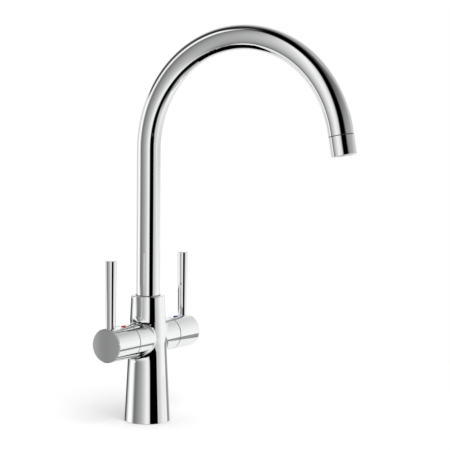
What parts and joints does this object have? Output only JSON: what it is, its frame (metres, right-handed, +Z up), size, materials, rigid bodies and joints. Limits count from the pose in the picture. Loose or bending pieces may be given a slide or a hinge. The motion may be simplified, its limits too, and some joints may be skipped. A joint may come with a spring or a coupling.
{
  "type": "monobloc mixer tap",
  "caption": "Chrome monobloc kitchen mixer with a conical body, side lever handles with quarter-turn valves and a swivelling swan-neck spout.",
  "frame": {"origin": "centre of the base on the deck's surface", "axes": "+Z up along the riser, -Y towards the user and the spout's outlet, -X the hot arm, +X the cold arm"},
  "size_m": [0.1406, 0.2558, 0.3968],
  "materials": {
    "chrome_plate": "polished chrome plate on brass",
    "brass": "turned brass",
    "black_rubber": "black nitrile rubber",
    "dark_plastic": "dark grey acetal",
    "white_plastic": "off-white acetal",
    "ceramic": "lapped alumina",
    "steel": "stainless screws and clips",
    "red_enamel": "red hot-water mark",
    "blue_enamel": "blue cold-water mark"
  },
  "bodies": {
    "tap_body": {"body": "chrome_plate", "base_gasket": "black_rubber", "spout_glide_bush": "dark_plastic", "spout_thrust_washer": "white_plastic", "spout_retaining_screw": "steel", "hot_valve_body": "brass", "cold_valve_body": "brass", "hot_valve_gasket": "black_rubber", "cold_valve_gasket": "black_rubber", "hot_seat_seal": "black_rubber", "cold_seat_seal": "black_rubber", "hot_fixed_disc": "ceramic", "cold_fixed_disc": "ceramic", "hot_glide_ring": "dark_plastic", "cold_glide_ring": "dark_plastic"},
    "spout": {"spout_tube": "chrome_plate", "spout_spigot": "brass", "spout_o_rings": "black_rubber", "outlet_nipple": "brass", "outlet_ring": "dark_plastic", "aerator_sleeve": "chrome_plate", "aerator_washer": "black_rubber", "aerator_jet_plate": "white_plastic", "aerator_insert": "white_plastic"},
    "hot_handle": {"hot_handle_cap": "chrome_plate", "hot_lever": "chrome_plate", "hot_index_mark": "red_enamel", "hot_handle_screw": "steel", "hot_spline_bush": "white_plastic", "hot_spindle": "brass", "hot_turning_disc": "ceramic", "hot_spindle_o_ring": "black_rubber", "hot_spindle_clip": "steel"},
    "cold_handle": {"cold_handle_cap": "chrome_plate", "cold_lever": "chrome_plate", "cold_index_mark": "blue_enamel", "cold_handle_screw": "steel", "cold_spline_bush": "white_plastic", "cold_spindle": "brass", "cold_turning_disc": "ceramic", "cold_spindle_o_ring": "black_rubber", "cold_spindle_clip": "steel"}
  },
  "joints": [
    {"name": "spout_swivel", "type": "hinge", "parent": "tap_body", "child": "spout", "pos_m": [0, 0, 0.128], "axis": [0, 0, 1], "continuous": true},
    {"name": "hot_handle_turn", "type": "hinge", "parent": "tap_body", "child": "hot_handle", "pos_m": [-0.0346, 0, 0.0847], "axis": [1, 0, 0], "range_deg": [0, 90]},
    {"name": "cold_handle_turn", "type": "hinge", "parent": "tap_body", "child": "cold_handle", "pos_m": [0.0346, 0, 0.0847], "axis": [1, 0, 0], "range_deg": [0, 90]}
  ]
}
